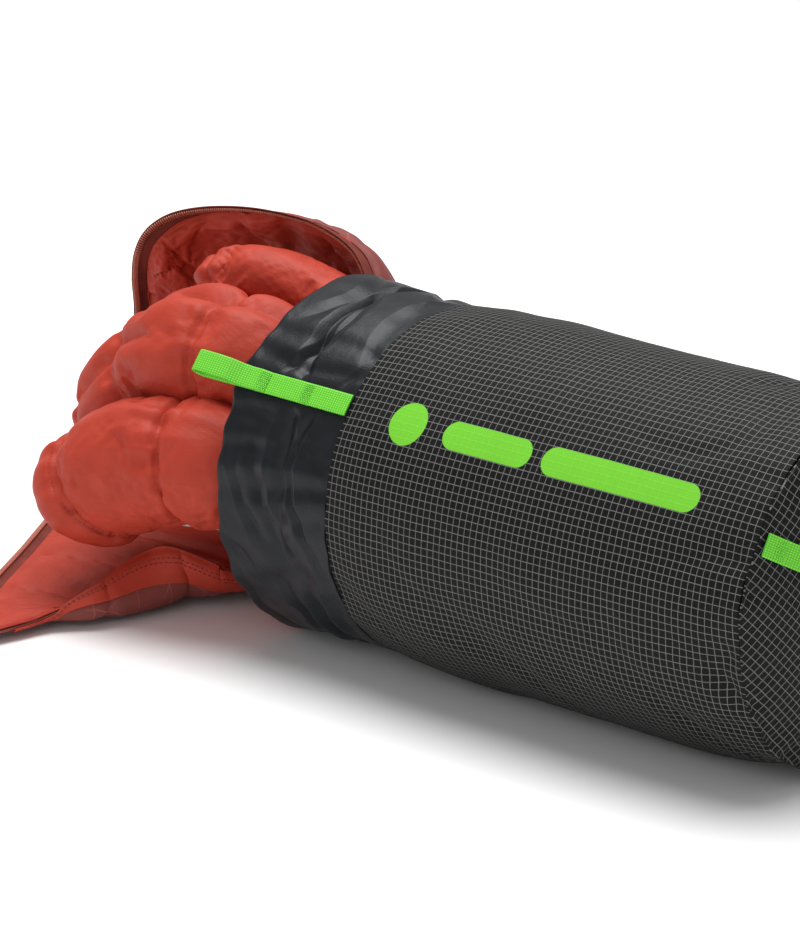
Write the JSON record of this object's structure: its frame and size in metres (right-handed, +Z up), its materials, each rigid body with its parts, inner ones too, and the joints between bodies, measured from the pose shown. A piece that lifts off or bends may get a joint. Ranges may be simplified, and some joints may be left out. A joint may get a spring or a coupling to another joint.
{
  "type": "camp quilt with stuff sack",
  "caption": "Puffy synthetic camp quilt pulled part way out of a cylindrical ripstop stuff sack with a webbing pull strap and a base handle.",
  "frame": {"origin": "the sack's flat underside, just on the body side of the collar seam", "axes": "+X along the sack from its mouth to its base, +Z up, the quilt leaves the mouth towards -X"},
  "size_m": [0.656, 0.3034, 0.2188],
  "materials": {
    "ripstop_black": "satin",
    "collar_nylon": "satin",
    "lime_webbing": "matte",
    "stitching": "matte",
    "red_lining": "satin",
    "printed_shell": "satin",
    "polyester_fill": "matte",
    "hem_tape": "matte",
    "zip_tape": "matte",
    "zip_coil": "satin",
    "slider_metal": "satin"
  },
  "bodies": {
    "sack": {"sack_body": "ripstop_black", "sack_collar": "collar_nylon", "sack_base": "ripstop_black", "collar_seam": "ripstop_black", "base_seam": "ripstop_black", "mouth_hem": "collar_nylon", "pull_strap": "lime_webbing", "tack_seam": "stitching", "tack_mouth": "stitching", "handle_end_front": "lime_webbing", "handle_end_back": "lime_webbing", "handle_tack_front": "stitching", "handle_tack_back": "stitching"},
    "quilt": {"quilt_core": "red_lining", "hood_lining": "red_lining", "hood_fill": "polyester_fill", "hood_shell": "printed_shell", "fold_upper": "red_lining", "fold_front": "red_lining", "fold_inner": "red_lining", "flap_lining": "red_lining", "flap_fill": "polyester_fill", "flap_shell": "printed_shell", "hem_facing": "hem_tape", "zip_tape": "zip_tape", "zip_coil": "zip_coil", "zip_stop": "zip_coil"},
    "pull_loop": {"pull_loop": "lime_webbing"},
    "base_handle": {"base_handle": "lime_webbing"},
    "zip_slider": {"zip_slider": "slider_metal"},
    "pull_tab": {"pull_tab": "slider_metal"}
  },
  "joints": [
    {"name": "quilt_pull_out", "type": "slide", "parent": "sack", "child": "quilt", "axis": [-1, 0, 0], "range_m": [0, 0.375]},
    {"name": "pull_loop_flap", "type": "hinge", "parent": "sack", "child": "pull_loop", "pos_m": [-0.0683, -0.08418, 0.16377], "axis": [0, 0.6157, 0.788], "range_deg": [0, 70]},
    {"name": "base_handle_swing", "type": "hinge", "parent": "sack", "child": "base_handle", "pos_m": [0.2943, 0, 0.098], "axis": [0, 0.866, -0.5], "range_deg": [-25, 25]},
    {"name": "slider_run", "type": "slide", "parent": "quilt", "child": "zip_slider", "axis": [-0.5006, 0.8657, 0], "range_m": [0, 0.04]},
    {"name": "pull_tab_swing", "type": "hinge", "parent": "zip_slider", "child": "pull_tab", "pos_m": [-0.22486, -0.16182, 0.01315], "axis": [-0.8657, -0.5006, 0], "range_deg": [0, 160]}
  ]
}
